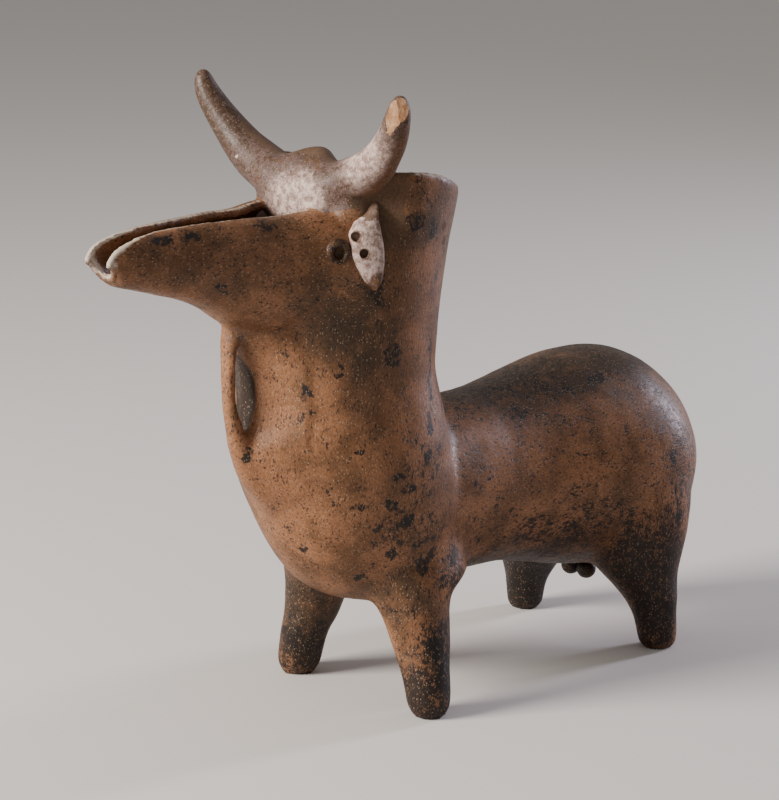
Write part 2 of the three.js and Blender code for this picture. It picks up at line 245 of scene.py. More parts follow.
def trunkAxis(y):
    t = trunkForm
    rump = ramp(y, t["haunchY"], t["rumpY"])
    return mix(t["waistHeight"], t["haunchHeight"], trunkSwell(y)) - t["rumpDrop"] * rump


def trunkTube(name, grow):
    def rule(x, z, t):
        y = mix(trunkForm["rootY"], trunkForm["rumpY"], 1 - (1 - t) ** 1.6)
        radius = max(trunkRadius(y) + grow, 0.5)
        flat = mix(1, trunkForm["haunchFlat"], trunkSwell(y))
        return x * radius, y + grow * t, trunkAxis(y) + z * radius * flat

    return tube(name, rule, 72, 44)


# head, the pouring trough
headForm = {
    "muzzleY": -179.0, "browY": -61.0, "lean": 0.6, "leanLength": 30.0,
    "keel": [(0, 218.5), (17, 214), (36, 209.5), (54, 202.5), (66, 194.5), (84, 184)],
    "floor": [(0, 226.5), (9, 219.5), (34, 214), (52, 208), (69, 199), (84, 189)],
    "rim": [(0, 231.5), (4, 235), (10, 238), (20, 240.6), (34, 241.9), (60, 242.3), (84, 241.9),
            (102, 243), (118, 244)],
    "slot": [(0, 7.6), (8, 8.2), (22, 7.2), (38, 8.4), (62, 12), (84, 13.2), (102, 16.4), (118, 17.5)],
    "cheekWidth": [(0, 9.6), (14, 12), (34, 15.4), (52, 20.4), (78, 28), (103, 37), (118, 45.8)],
    "cheekHeight": [(0, 226), (34, 226), (62, 222), (118, 212)],
    "cheekTurn": 0.44, "rimTurn": 0.9, "fullness": 2.05,
    "lipRadius": 1.4, "lipSwell": 0.25, "lipDrop": -0.6, "lipInset": 1.1,
    "root": 12, "slotLift": 4, "slotTall": 9,
}


def headTube(name, grow, bottoms, start, end):
    h = headForm

    def rule(x, z, t):
        distance = mix(start, end, t ** 1.3)
        turn = 1 - math.acos(clamp(z, -1, 1)) / math.pi  # 0 at the keel, 1 on top
        keel = along(bottoms, distance) - max(grow, 0)
        rim = along(h["rim"], distance) + grow - h["lipDrop"]
        cheek = along(h["cheekHeight"], distance)
        half = along(h["cheekWidth"], distance) + grow
        slot = along(h["slot"], distance) + clayWall["rim"] / 2 + grow * clayWall["rim"] / clayWall["head"]
        power = 2 / h["fullness"]
        if turn <= h["cheekTurn"]:
            a = turn / h["cheekTurn"] * math.pi / 2
            across = half * math.sin(a) ** power
            up = cheek - (cheek - keel) * max(math.cos(a), 0) ** power
        elif turn <= h["rimTurn"]:
            a = (turn - h["cheekTurn"]) / (h["rimTurn"] - h["cheekTurn"]) * math.pi / 2
            across = slot + (half - slot) * max(math.cos(a), 0) ** power
            up = cheek + (rim - cheek) * math.sin(a) ** power
        else:
            across, up = slot * (1 - turn) / (1 - h["rimTurn"]), rim
        lean = h["lean"] * (1 - clamp(distance / h["leanLength"]))
        y = h["muzzleY"] + distance - lean * (up - h["cheekHeight"][0][1])
        return math.copysign(across, x), y, up

    return tube(name, rule, 64, 56)


headLength = headForm["browY"] - headForm["muzzleY"]


def slotTube(name):  # opens the trough upwards between its two edges
    h = headForm

    def rule(x, z, t):
        distance = mix(-20, headLength + 20, t)
        across = (x + z) * (along(h["slot"], distance) - clayWall["rim"] / 2)
        top = along(h["rim"], distance) + h["slotLift"]
        return across, h["muzzleY"] + distance, top + (z - x) * h["slotTall"]

    return tube(name, rule, 4, 56)


def lipPath():  # along the near edge, round the muzzle's end and back along the far edge
    h = headForm
    floor, keel = h["floor"][0][1], h["keel"][0][1]
    edge = []
    for i in range(61):
        distance = headLength * (1 - i / 60) ** 1.3
        up = along(h["rim"], distance) - h["lipRadius"]
        lean = h["lean"] * (1 - clamp(distance / h["leanLength"])) * (up - h["cheekHeight"][0][1])
        edge.append(Vector((along(h["slot"], distance), h["muzzleY"] + distance - lean, up)))
    top = edge[-1]
    for i in range(1, 9):
        a = i / 8 * math.pi / 2
        up = (floor + keel) / 2 + (top.z - (floor + keel) / 2) * (1 - math.sin(a)) ** 0.9
        lean = h["lean"] * (up - h["cheekHeight"][0][1])
        edge.append(Vector((top.x * math.cos(a) ** 0.8, h["muzzleY"] + h["lipInset"] - lean, up)))
    return edge + [Vector((-p.x, p.y, p.z)) for p in reversed(edge[:-1])]


def lipTube(name):
    def radius(t):  # a little thicker round the muzzle's end
        return headForm["lipRadius"] + headForm["lipSwell"] * math.exp(-((t - 0.5) / 0.08) ** 2)

    return sweep(name, lipPath(), radius, 16)


# brow and horns
browForm = {
    "height": 252.8, "half": 24.0, "radius": 11.0,
    "knobX": 3.0, "knobHalf": 11.0, "knobRise": 6.8, "knobPinch": 1.2, "tilt": 0.5,
}


def browTube(name, grow):
    b = browForm

    def rule(y, z, t):
        x = mix(-b["half"], b["half"], t)
        middle = math.exp(-((x - b["knobX"]) / b["knobHalf"]) ** 2)
        tall = z * (b["radius"] + b["knobRise"] * middle + grow)
        deep = y * (b["radius"] - b["knobPinch"] * middle + grow)
        tilt = b["tilt"] * middle
        back = deep * math.cos(tilt) + tall * math.sin(tilt)
        up = tall * math.cos(tilt) - deep * math.sin(tilt)
        return x, headForm["browY"] + back, b["height"] + up

    return tube(name, rule, 40, 30)


foreheadForm = {
    "x": 2.0, "y": -62.0, "z": 246.0, "half": 25.0, "deep": 11.8, "tall": 14.5, "fullness": 2.7,
}


def foreheadTube(name, grow):  # fills the space between brow and trough edges, down to the edges
    f = foreheadForm

    def rule(y, z, t):
        across = 2 * t - 1
        shrink = superArc(across, 4)
        size = (abs(y) ** f["fullness"] + abs(z) ** f["fullness"]) ** (-1 / f["fullness"])
        deep, up = y * size * (f["deep"] + grow) * shrink, z * size * (f["tall"] + grow) * shrink
        return f["x"] + across * (f["half"] + grow), f["y"] + deep, f["z"] + up

    return tube(name, rule, 40, 24)


templeForm = {
    "x": 27.5, "y": -59.5, "farY": -55.5, "z": 243.5,
    "half": 12.5, "farHalf": 10.5, "deep": 9.0, "tall": 9.0,
}


def temple(name, side):  # clay pressed in between the horn's root and the cheek
    f = templeForm
    y, half = (f["y"], f["half"]) if side > 0 else (f["farY"], f["farHalf"])
    return added(name, bpy.ops.mesh.primitive_uv_sphere_add, segments=40, ring_count=28, radius=mm,
                 location=(side * f["x"] * mm, y * mm, f["z"] * mm), scale=(half, f["deep"], f["tall"]))


hornForm = {
    "axis": [
        (18, -0.4, 252.2), (31.4, 1.3, 257.1), (42.2, 1.1, 262.8), (51, 0.2, 270.2), (58.9, -1.7, 279.2),
        (64.5, -3.9, 288), (66.6, -4.6, 293), (67.6, -4.8, 299.2),
    ],
    "radii": [(0, 11.3), (0.22, 10.8), (0.4, 9.5), (0.57, 8.1), (0.73, 6.9), (0.86, 5.7), (0.96, 3.9),
              (1, 1.5)],
}


def hornTube(name, side, grow):
    points = [Vector((side * x, headForm["browY"] + y, z)) for x, y, z in hornForm["axis"]]
    run = [0.0]
    for a, b in zip(points, points[1:]):
        run.append(run[-1] + (b - a).length)
    total = run[-1]

    def centre(t):
        return Vector([along([(r / total, p[k]) for r, p in zip(run, points)], t) for k in range(3)])

    def rule(x, y, t):
        forward = (centre(min(1, t + 0.02)) - centre(max(0, t - 0.02))).normalized()
        out = Vector((0, 1, 0)).cross(forward).normalized()
        radius = along(hornForm["radii"], t) + grow
        place = centre(t) + out * x * radius + forward.cross(out) * y * radius
        return place.x, place.y, place.z

    return tube(name, rule, 32, 40)


# dewlap
strapForm = {
    "front": [(94, -80), (100, -85.6), (106, -90.4), (116, -98.8), (126, -104.4), (141, -109.3),
              (158, -111.6), (175, -111.2), (191, -110.6), (200, -110)],
    "back": [(94, -72), (106, -80), (128, -91), (134, -96), (139, -99.8), (142, -101), (147, -103),
             (152, -105.2), (158, -106.4), (170, -107.2), (176, -107.2), (181, -106.8), (185, -105),
             (190, -99), (200, -84)],
    "width": [(94, 3), (106, 9), (124, 8), (136, 6), (145, 4.4), (170, 4), (185, 5.6), (200, 8)],
}


def strapTube(name, grow):
    s = strapForm

    def rule(x, y, t):
        z = mix(s["front"][0][0], s["front"][-1][0], t)
        front, back = along(s["front"], z) - grow, along(s["back"], z) + grow
        return x * (along(s["width"], z) + grow), (front + back) / 2 + y * (back - front) / 2, z

    return tube(name, rule, 32, 48)


webForm = {  # the clay behind the strap's slot and below it, run out over throat and chest
    "front": [(94, -80.5), (100, -85.4), (106, -90), (116, -98), (126, -103), (131, -104.6),
              (135, -103.6), (139, -100.4), (144, -98), (149, -97.3), (155, -97), (161, -97.8),
              (168, -98.8), (173.5, -100.2), (178, -101.8), (182, -103.8), (186, -107), (192, -109),
              (202, -109)],
    "back": [(94, -80), (100, -81), (116, -84), (126, -83.5), (133, -85.5), (139, -86.5), (158, -85),
             (182, -86.5), (202, -86)],
    "width": [(94, 4), (100, 14), (106, 19), (116, 26), (126, 28), (139, 28), (158, 29), (182, 25),
              (202, 22)],
    "round": [(132, 1), (139, 0)], "edge": 4.6, "sink": 5.0,
}


def webTube(name):
    w = webForm

    def rule(x, y, t):
        z = mix(w["front"][0][0], w["front"][-1][0], t)
        front, back, wide = along(w["front"], z), along(w["back"], z), along(w["width"], z)
        wedge = clamp((1 - abs(x)) * wide / (wide - min(w["edge"], wide / 2)))
        reach = mix(wedge, 1 - abs(x) ** 1.35, along(w["round"], z))
        return x * wide, back + (y * w["sink"] if y > 0 else reach * (front - back)), z

    return tube(name, rule, 96, 80)


# legs
legForms = {
    "spread": 47.0, "top": 90.0, "frontY": -27.0, "hindY": 133.0,
    "foot": [(0, 7.4), (3.5, 9.5)],
    "front": {
        "inset": [(0, 0), (10, 1.4), (21, 4.6), (33, 9.4), (45, 13.4), (55, 17.5), (66, 23), (90, 30)],
        "farLean": [(14, 0), (30, 1.4), (45, 2.8), (62, 2.8), (80, 0)],
        "setback": [(0, 0), (22, 1.3), (33, 3), (55, 3.9), (66, 9), (90, 9)],
        "width": [(7, 10.6), (21, 11.8), (33, 13.9), (45, 16.1), (55, 19.3), (66, 25), (80, 25)],
        "length": [(7, 10.6), (21, 11.8), (33, 13.9), (45, 16.1), (55, 19.8), (66, 30), (80, 30)],
    },
    "hind": {
        "inset": [(0, 0), (12, 0.8), (24, 4), (31, 7.2), (36.5, 10.5), (41, 13), (60, 18), (90, 22)],
        "farLean": [(0, 0), (90, 0)],
        "setback": [(0, 0), (24, -1), (36.5, -2.5), (60, -1), (90, -3)],
        "width": [(10, 10.4), (17, 11.4), (24, 13.6), (31, 16.6), (41, 22), (52, 26), (62, 28.5),
                  (74, 30.5), (88, 31)],
        "length": [(10, 10.4), (17, 11.4), (24, 13.6), (31, 16.6), (41, 22.4), (52, 26.4), (62, 29.6),
                   (74, 33), (88, 35)],
    },
}


def legTube(name, pair, side, grow):
    f = legForms
    leg = f[pair]
    footY = f[pair + "Y"]

    def rule(x, y, t):
        z = f["top"] * t ** 1.1
        wide = along(f["foot"] + leg["width"], z) + grow
        long = along(f["foot"] + leg["length"], z) + grow
        lean = along(leg["farLean"], z) if side < 0 else 0
        across = side * (f["spread"] - along(leg["inset"], z) + lean) + x * wide
        return across, footY + along(leg["setback"], z) + y * long, z

    return tube(name, rule, 40, 44)


# skin: the outer forms run into each other, then the hollow is taken out
skinForm = {
    "bodyVoxel": 1.6, "skinVoxel": 1.35, "blendRounds": 26, "hollowRounds": 3, "rimRounds": 3,
    "waveSize": 34.0, "waveDepth": 1.3, "facetSize": 8.0, "facetDepth": 0.22, "soleHeight": 0.6,
    "frontLow": 218.0, "frontY": -61.0, "mouthLow": 240, "mouthTop": 310,
    "evenWeight": 0.12, "frontLegTop": 96, "hindLegTop": 102, "hindY": 90,
    "rootRounds": 22, "rootPull": 1.6, "leastCrumb": 12, "softAngle": 40,
    "roots": [
        ((30, -61, 246), 14), ((-28, -57, 246), 14), ((0, -72, 236), 12), ((0, -98, 116), 24),
        ((22, -84, 118), 24), ((-22, -84, 118), 24), ((0, -84, 98), 20), ((0, -98, 197), 9),
        ((26, -84, 156), 12), ((-26, -84, 156), 12), ((42, -46, 64), 17), ((-42, -46, 64), 17),
    ],
}


def boxed(name, low, high):
    return added(name, bpy.ops.mesh.primitive_cube_add, size=mm,
                 location=[(a + b) / 2 * mm for a, b in zip(low, high)],
                 scale=[b - a for a, b in zip(low, high)])


def mouthTool():  # everything above the mouth's rim, which falls towards the back
    low, top = skinForm["mouthLow"], skinForm["mouthTop"]
    obj = boxed("mouthTool", (-90, -120, low), (90, 60, top))
    edit(obj, bpy.ops.mesh.subdivide, number_cuts=59)
    for v in obj.data.vertices:
        rim = along(jugForm["mouthRim"], v.co.y / mm)
        v.co.z = mix(rim, top, share(v.co.z / mm, low, top)) * mm
    return obj


def frontTool():
    return boxed("frontTool", (-90, -140, skinForm["frontLow"]), (90, skinForm["frontY"], 310))


def creaseWeights(obj):  # where forms meet the clay is smoothed most
    group = obj.vertex_groups.new(name="crease")
    for v in obj.data.vertices:
        _, y, z = v.co / mm
        top = skinForm["frontLegTop"] if y < skinForm["hindY"] else skinForm["hindLegTop"]
        legs = ramp(z, 22, 36) * ramp(z, top, top - 16)
        trunk = ramp(y, -8, 2) * ramp(y, 36, 22) * ramp(z, 40, 50)
        throat = ramp(z, 206, 194) * ramp(z, 168, 180) * ramp(y, -58, -70) * ramp(y, -122, -102)
        group.add([v.index], max(skinForm["evenWeight"], legs, trunk, throat), "REPLACE")


def rootWeights(obj):  # horns, brow and dewlap run smoothly into what carries them
    group = obj.vertex_groups.new(name="roots")
    for v in obj.data.vertices:
        depths = [1 - (v.co / mm - Vector(place)).length / reach for place, reach in skinForm["roots"]]
        if max(depths) > 0:
            group.add([v.index], ease(skinForm["rootPull"] * max(depths)), "REPLACE")


def textured(obj, name, size, depth):
    texture = bpy.data.textures.new(name, "CLOUDS")
    texture.noise_scale = size * mm
    texture.noise_depth = 1
    apply(obj, "DISPLACE", texture=texture, texture_coords="LOCAL", strength=depth * mm, mid_level=0.5)


def makeSkin():
    jug = jugTube("jugOutside", 0)
    cut(jug, mouthTool())
    cut(jug, frontTool())
    head = headTube("headOutside", 0, headForm["keel"], 0, headLength + headForm["root"])
    forms = [jug, trunkTube("trunkOutside", 0), head]
    forms += [legTube("legForm", pair, side, 0) for pair in ("front", "hind") for side in (1, -1)]
    skin = joined(forms, "skin")
    apply(skin, "REMESH", mode="VOXEL", voxel_size=skinForm["bodyVoxel"] * mm, adaptivity=0)
    creaseWeights(skin)
    apply(skin, "SMOOTH", factor=0.5, iterations=skinForm["blendRounds"], vertex_group="crease")
    print("outside", len(skin.data.vertices))
    jugHollow = jugTube("jugHollow", -clayWall["thick"])
    cut(jugHollow, frontTool())
    over = clayWall["overrun"] / 2
    trough = headTube("trough", -clayWall["head"], headForm["floor"], -over, headLength + over)
    hollows = [jugHollow, trunkTube("trunkHollow", -clayWall["thick"]), trough]
    cut(skin, fused(hollows, "hollow", skinForm["bodyVoxel"], skinForm["hollowRounds"]))
    cut(skin, slotTube("slotTool"))
    forms = [skin, browTube("browForm", 0), foreheadTube("foreheadForm", 0), strapTube("strapForm", 0)]
    forms.append(webTube("webForm"))
    for side in (1, -1):
        forms += [hornTube("hornForm", side, 0), temple("templeForm", side)]
    skin = fused(forms, "skin", skinForm["skinVoxel"], skinForm["rimRounds"])
    rootWeights(skin)
    apply(skin, "SMOOTH", factor=0.5, iterations=skinForm["rootRounds"], vertex_group="roots")
    textured(skin, "handWaves", skinForm["waveSize"], skinForm["waveDepth"])
    textured(skin, "burnishFacets", skinForm["facetSize"], skinForm["facetDepth"])
    for v in skin.data.vertices:
        if v.co.z < skinForm["soleHeight"] * mm:
            v.co.z = 0  # flat soles
    print("skin", len(skin.data.vertices))
    return skin


def take(skin, tool):  # the part of the skin inside the tool becomes a piece of its own
    piece = skin.copy()
    piece.data = skin.data.copy()
    bpy.context.collection.objects.link(piece)
    cut(piece, tool, "INTERSECT", keep=True)
    cut(skin, tool)
    return piece


# borders between the pieces
borderForm = {
    "outer": 90, "front": -200, "back": 60, "top": 320, "hornRoot": 22, "hornReach": 200,
    "headLow": 192, "headBack": -61, "jawLow": 170, "jawBack": -94, "neckLow": 147,
    "chestLow": 40, "chestTop": 160, "chestBack": -34,
    "hug": 3.0, "foreheadHug": 1.0, "bodyHug": 0.8, "legHug": 9.0,
}


def slab(name, lowY, lowZ, highY, highZ):  # a block right across the vessel
    return boxed(name, (-borderForm["outer"], lowY, lowZ), (borderForm["outer"], highY, highZ))


def makePieces(skin):
    b = borderForm
    made = {}
    for word, side in sides:
        region = hornTube("region", side, b["hug"])
        ends = sorted((side * b["hornRoot"], side * b["hornReach"]))
        cut(region, boxed("halfSpace", (ends[0], -200, 0), (ends[1], 200, 400)), "INTERSECT")
        made["horn_" + word] = take(skin, region)
    region = foreheadTube("region", b["foreheadHug"])
    cut(region, browTube("browRegion", b["hug"]), "UNION")
    made["brow"] = take(skin, region)
    region = strapTube("region", b["hug"])
    cut(region, jugTube("jugRegion", b["bodyHug"]))
    made["dewlap"] = take(skin, region)
    for pair, body in (("front", jugTube), ("hind", trunkTube)):
        for word, side in sides:
            region = legTube("region", pair, side, b["legHug"])
            cut(region, body("bodyRegion", b["bodyHug"]))
            made["leg_" + pair + "_" + word] = take(skin, region)
    region = slab("region", b["front"], b["headLow"], b["headBack"], b["top"])
    cut(region, slab("jawRegion", b["front"], b["jawLow"], b["jawBack"], b["headLow"] + 8), "UNION")
    made["spout"] = take(skin, region)
    made["neck"] = take(skin, slab("region", b["front"], b["neckLow"], b["back"], b["top"]))
    region = jugTube("region", b["bodyHug"])
    cut(region, slab("frontRegion", b["front"], b["chestLow"], b["chestBack"], b["chestTop"]), "UNION")
    made["chest"] = take(skin, region)
    made["trunk"] = skin
    return made


skin = makeSkin()
cut(skin, lipTube("lipForm"), "UNION")
pieces = makePieces(skin)


def looseBits():  # parts every piece from the bits that lie beside its largest shell
    crumbs = []
    for node in pieces:
        edit(pieces[node], bpy.ops.mesh.separate, type="LOOSE")
        shells = sorted(bpy.context.selected_objects, key=lambda shell: len(shell.data.vertices))
        pieces[node] = shells.pop()
        crumbs += shells
    return crumbs


def settleCrumbs():  # bits left over at the borders go to the piece that they touch, then all get names
    for crumb in looseBits():
        corners = [v.co for v in crumb.data.vertices]
        if len(corners) < skinForm["leastCrumb"]:
            bpy.data.objects.remove(crumb)
            continue
        middle = sum(corners, Vector()) / len(corners)
        near = min(pieces, key=lambda node: (pieces[node].closest_point_on_mesh(middle)[1] - middle).length)
        cut(pieces[near], crumb, "UNION")
    for crumb in looseBits():
        bpy.data.objects.remove(crumb)
    for node, piece in pieces.items():
        piece.name = node + "Skin"


settleCrumbs()
for node, piece in pieces.items():
    print(node, len(piece.data.polygons), [round(c, 4) for c in piece.dimensions])


# ears, eyes and pellets are luted on as pieces of their own
earForm = {
    "front": [(209, -61.5), (213, -65), (219, -67.8), (226, -69.4), (233, -69.4), (238, -66.2),
              (243, -60.8), (249, -55.5)],
    "back": [(209, -62), (213, -59.5), (221, -58), (230, -57.6), (239, -57), (249, -54.5)],
    "reach": [(209, 47.5), (226, 46.5), (238, 42.5), (249, 36)],
    "slant": 0.55, "y": -61.0, "thick": 5.6, "root": 7.0, "farDrop": 11.0,
    "holeRadius": 2.15, "holes": [(-68.4, 233.4), (-66.6, 226.1)],
}
earHoles = []


def earLeaf(name, side):
    e = earForm
    obj = added(name, bpy.ops.mesh.primitive_uv_sphere_add, segments=56, ring_count=40, radius=1,
                location=(0, 0, 0))
    low, high = e["front"][0][0], e["front"][-1][0] - (0 if side > 0 else e["farDrop"])
    for v in obj.data.vertices:
        x, y, z = v.co
        across = max(math.hypot(x, y), 1e-6)
        z = mix(low, high, (z + 1) / 2)
        front, back = along(e["front"], z), along(e["back"], z)
        place = (front + back) / 2 + y / across * (back - front) / 2 * min(1, across * 3)
        depth = e["thick"] / 2 if side * x > 0 else e["root"]
        out = x / across * depth * min(1, across * 1.6)
        v.co = Vector((side * (along(e["reach"], z) + e["slant"] * (place - e["y"])) + out, place, z)) * mm
    turn = math.atan(e["slant"])
    for y, z in e["holes"]:
        reach = along(e["reach"], z) + e["slant"] * (y - e["y"]) + e["thick"] / 4
        bpy.ops.mesh.primitive_cylinder_add(vertices=24, radius=e["holeRadius"] * mm,
                                            depth=e["thick"] * mm,
                                            location=(side * reach * mm, y * mm, z * mm),
                                            rotation=(0, math.pi / 2, -side * turn))
        out = Vector((side * math.cos(turn), -math.sin(turn), 0))
        earHoles.append((Vector((side * reach, y, z)), out))
        cut(obj, bpy.context.object)
    return obj


def headSide(y, z):  # half the head's width at a place
    distance = y - headForm["muzzleY"]
    cheek, rim = along(headForm["cheekHeight"], distance), along(headForm["rim"], distance)
    slot = along(headForm["slot"], distance) + clayWall["rim"] / 2
    swell = superArc(clamp(share(z, cheek, rim)), 2.1)
    return mix(slot, along(headForm["cheekWidth"], distance), swell)


eyeForm = {
    "y": -74.2, "z": 225.9,
    "profile": [(0, -3.3), (6.6, -3.3), (6.6, -1.3), (6.1, -0.4), (5.4, 0.4), (4.6, 0.95), (3.9, 1.1),
                (3.3, 0.8), (2.8, 0.0), (2.3, -1.1), (1.6, -2.0), (0.8, -2.4), (0, -2.5)],
    "pitRadius": 3.6, "pitDepth": 3.2,
}


def eyePlace(side):  # on the cheek, and the way that the eye looks
    e = eyeForm
    turn = math.atan2(headSide(e["y"] + 5, e["z"]) - headSide(e["y"] - 5, e["z"]), 10)
    out = Vector((side * math.cos(turn), -math.sin(turn), 0))
    return Vector((side * headSide(e["y"], e["z"]), e["y"], e["z"])), out


def eyePit(side):
    place, out = eyePlace(side)
    return added("eyePit", bpy.ops.mesh.primitive_cylinder_add, vertices=32,
                 radius=eyeForm["pitRadius"] * mm, depth=2 * eyeForm["pitDepth"] * mm,
                 location=place * mm, rotation=out.to_track_quat("Z", "Y").to_euler())


def eyeRing(name, side):
    e = eyeForm
    place, out = eyePlace(side)
    beside = Vector((0, 0, 1)).cross(out)
    steps = len(e["profile"]) - 1

    def rule(x, y, t):
        radius, rise = e["profile"][round(t * steps)]
        wide = max(radius, 0.02)
        return place + beside * x * wide + Vector((0, 0, 1)) * y * wide + out * rise

    ring = tube(name, rule, 40, steps)
    apply(ring, "SUBSURF", levels=1, render_levels=1)
    cut(pieces["spout"], eyePit(side))
    return ring


pelletForm = {"radius": 5.0, "spread": 5.4, "y": 124.0, "z": 33.6}


def pellet(name, side):
    p = pelletForm
    return added(name, bpy.ops.mesh.primitive_uv_sphere_add, segments=32, ring_count=24,
                 radius=p["radius"] * mm,
                 location=(side * p["spread"] * mm, p["y"] * mm, p["z"] * mm))


for word, side in sides:
    pieces["ear_" + word] = earLeaf("earLeaf_" + word, side)
    pieces["eye_" + word] = eyeRing("eyeRing_" + word, side)
    pieces["pellet_" + word] = pellet("beanPellet_" + word, side)
print("ears, eyes and pellets")

# the left horn's tip is chipped
chipForm = {
    "point": (65.2, -65.0, 290.5), "size": 30.0, "roughSize": 2.6, "roughDepth": 0.7,
    "faces": [((0.40, -0.916, 0.02), 4.1), ((0.80, -0.59, 0.10), 4.6)],
    "near": 0.5, "facing": 0.93,
}


def chipHorn(horn):
    c = chipForm
    for normal, depth in c["faces"]:
        normal = Vector(normal).normalized()
        place = Vector(c["point"]) + normal * (depth + c["size"] / 2)
        block = added("chipBlock", bpy.ops.mesh.primitive_cube_add, size=c["size"] * mm,
                      location=place * mm, rotation=normal.to_track_quat("Z", "Y").to_euler())
        edit(block, bpy.ops.mesh.subdivide, number_cuts=47)
        textured(block, "chipRoughness", c["roughSize"], c["roughDepth"])
        cut(horn, block)


chipHorn(pieces["horn_left"])

# camera at the photograph's angle
cameraView = {"place": (1.0305, -0.9734, 0.4678), "around": 46.90, "down": 12.99, "lens": 136.67}
cameraData = bpy.data.cameras.new("camera")
cameraData.lens = cameraView["lens"]
cameraData.sensor_width = 36
camera = bpy.data.objects.new("camera", cameraData)
camera.location = cameraView["place"]
camera.rotation_euler = (math.radians(90 - cameraView["down"]), 0, math.radians(cameraView["around"]))
bpy.context.collection.objects.link(camera)
bpy.context.scene.camera = camera

# studio: a wide pale floor, a large key lamp before the bull and a narrow lamp behind it
studio = {
    "floorColor": (0.84, 0.80, 0.77), "floorBounce": (0.50, 0.475, 0.455), "floorHalf": 6.0,
    "floorRoughness": 0.8, "world": 0.29, "worldColor": (1, 0.97, 0.94), "aim": (0, 0, 0.15),
    "keyLamp": {
        "place": (-0.58, -1.50, 0.82), "size": (0.7, 0.7), "power": 52.0, "color": (1, 0.95, 0.88),
    },
    "rimLamp": {
        "place": (0.24, 1.55, 0.62), "size": (0.2, 1.0), "power": 16.0, "color": (0.86, 0.83, 1),
    },
}


def areaLamp(name, place, size, power, color):
    data = bpy.data.lights.new(name, "AREA")
    data.shape = "RECTANGLE"
    data.size, data.size_y = size
    data.energy = power
    data.color = color
    lamp = bpy.data.objects.new(name, data)
    lamp.location = place
    look = Vector(studio["aim"]) - Vector(place)
    lamp.rotation_euler = look.to_track_quat("-Z", "Y").to_euler()
    bpy.context.collection.objects.link(lamp)


areaLamp("keyLamp", **studio["keyLamp"])
areaLamp("rimLamp", **studio["rimLamp"])

world = bpy.data.worlds.new("world")
bpy.context.scene.world = world
world.use_nodes = True
sky = world.node_tree.nodes["Background"]
sky.inputs["Color"].default_value = (*studio["worldColor"], 1)
sky.inputs["Strength"].default_value = studio["world"]

bpy.ops.object.select_all(action="DESELECT")
bpy.ops.mesh.primitive_plane_add(size=2 * studio["floorHalf"], location=(0, 0, 0))
floor = bpy.context.object
floor.name = "floor"
floorMaterial, floorTree, floorShader = newMaterial("paperFloor")
floorShader.inputs["Roughness"].default_value = studio["floorRoughness"]
floorMix = floorTree.nodes.new("ShaderNodeMix")  # paler to the camera than in its bounce
floorMix.data_type = "RGBA"
floorMix.inputs[6].default_value = (*studio["floorBounce"], 1)
floorMix.inputs[7].default_value = (*studio["floorColor"], 1)
lightPath = floorTree.nodes.new("ShaderNodeLightPath")
floorTree.links.new(lightPath.outputs["Is Camera Ray"], floorMix.inputs[0])
floorTree.links.new(floorMix.outputs[2], floorShader.inputs["Base Color"])
floor.data.materials.append(floorMaterial)
print("camera, lights and floor")

# how each point of the clay was used: worn along the edges, raw on the inside
wearForm = {
    "reach": 2.5, "muzzleReach": 4.4, "muzzleLength": 22, "rimSink": 1.5,
    "hollowDepth": 2.2, "throatY": -100, "troughLow": 206, "browSink": 2, "rumpSink": 1, "holeEdge": 0.15,
}


def mouthPath():
    path = []
    for i in range(121):
        a = math.radians(mix(-140, 140, i / 120))
        y = 0.0
        for _ in range(4):  # settles on the rim, which falls towards the back
            z = along(jugForm["mouthRim"], y)
            radius = jugRadius(z) - wearForm["rimSink"]
            y = jugAxis(z) + math.cos(a) * radius
        path.append(Vector((math.sin(a) * radius, y, z)))
    return path


edgePoints = [p + Vector((0, 0, headForm["lipRadius"])) for p in lipPath()] + mouthPath()
edgeTree = KDTree(len(edgePoints))
for i, place in enumerate(edgePoints):
    edgeTree.insert(place, i)
edgeTree.balance()


def insideShare(x, y, z):  # 1 on the walls of the hollow
    w = wearForm
    if z > jugForm["bellyHeight"] and y > w["throatY"]:
        inJug = math.hypot(x, y - jugAxis(z)) < jugRadius(z) - w["hollowDepth"]
        if inJug and (y > headForm["browY"] - w["browSink"] or z < w["troughLow"]):
            return 1.0
    trunkReach = trunkRadius(min(y, trunkForm["rumpY"] - w["rumpSink"])) - w["hollowDepth"]
    if y > 0 and math.hypot(x, z - trunkAxis(y)) < trunkReach:
        return 1.0
    for place, out in earHoles:
        offset = Vector((x, y, z)) - place
        if (offset - out * offset.dot(out)).length < earForm["holeRadius"] + w["holeEdge"]:
            return 1.0
    return 0.0


def addUse(piece):
    mesh = piece.data
    worn, inside = [], []
    for v in mesh.vertices:
        place = v.co / mm
        away = edgeTree.find(place)[2]
        back = ease((place.y - headForm["muzzleY"]) / wearForm["muzzleLength"])
        worn.append(ease(1 - away / mix(wearForm["muzzleReach"], wearForm["reach"], back)))
        inside.append(insideShare(place.x, place.y, place.z))
    for name, values in (("worn", worn), ("inside", inside)):
        layer = mesh.attributes.new(name, "FLOAT", "POINT")
        layer.data.foreach_set("value", values)


# shader helpers
def tone(red, green, blue):  # a colour as a screen shows it
    return tuple(((c / 255 + 0.055) / 1.055) ** 2.4 for c in (red, green, blue)) + (1.0,)


def feed(tree, socket, value):
    if isinstance(value, bpy.types.NodeSocket):
        tree.links.new(value, socket)
    else:
        socket.default_value = value


def maths(tree, how, a, b=0.0):
    node = tree.nodes.new("ShaderNodeMath")
    node.operation = how
    feed(tree, node.inputs[0], a)
    feed(tree, node.inputs[1], b)
    return node.outputs[0]


def plus(tree, a, b):
    return maths(tree, "ADD", a, b)


def minus(tree, a, b):
    return maths(tree, "SUBTRACT", a, b)


def times(tree, a, b):
    return maths(tree, "MULTIPLY", a, b)


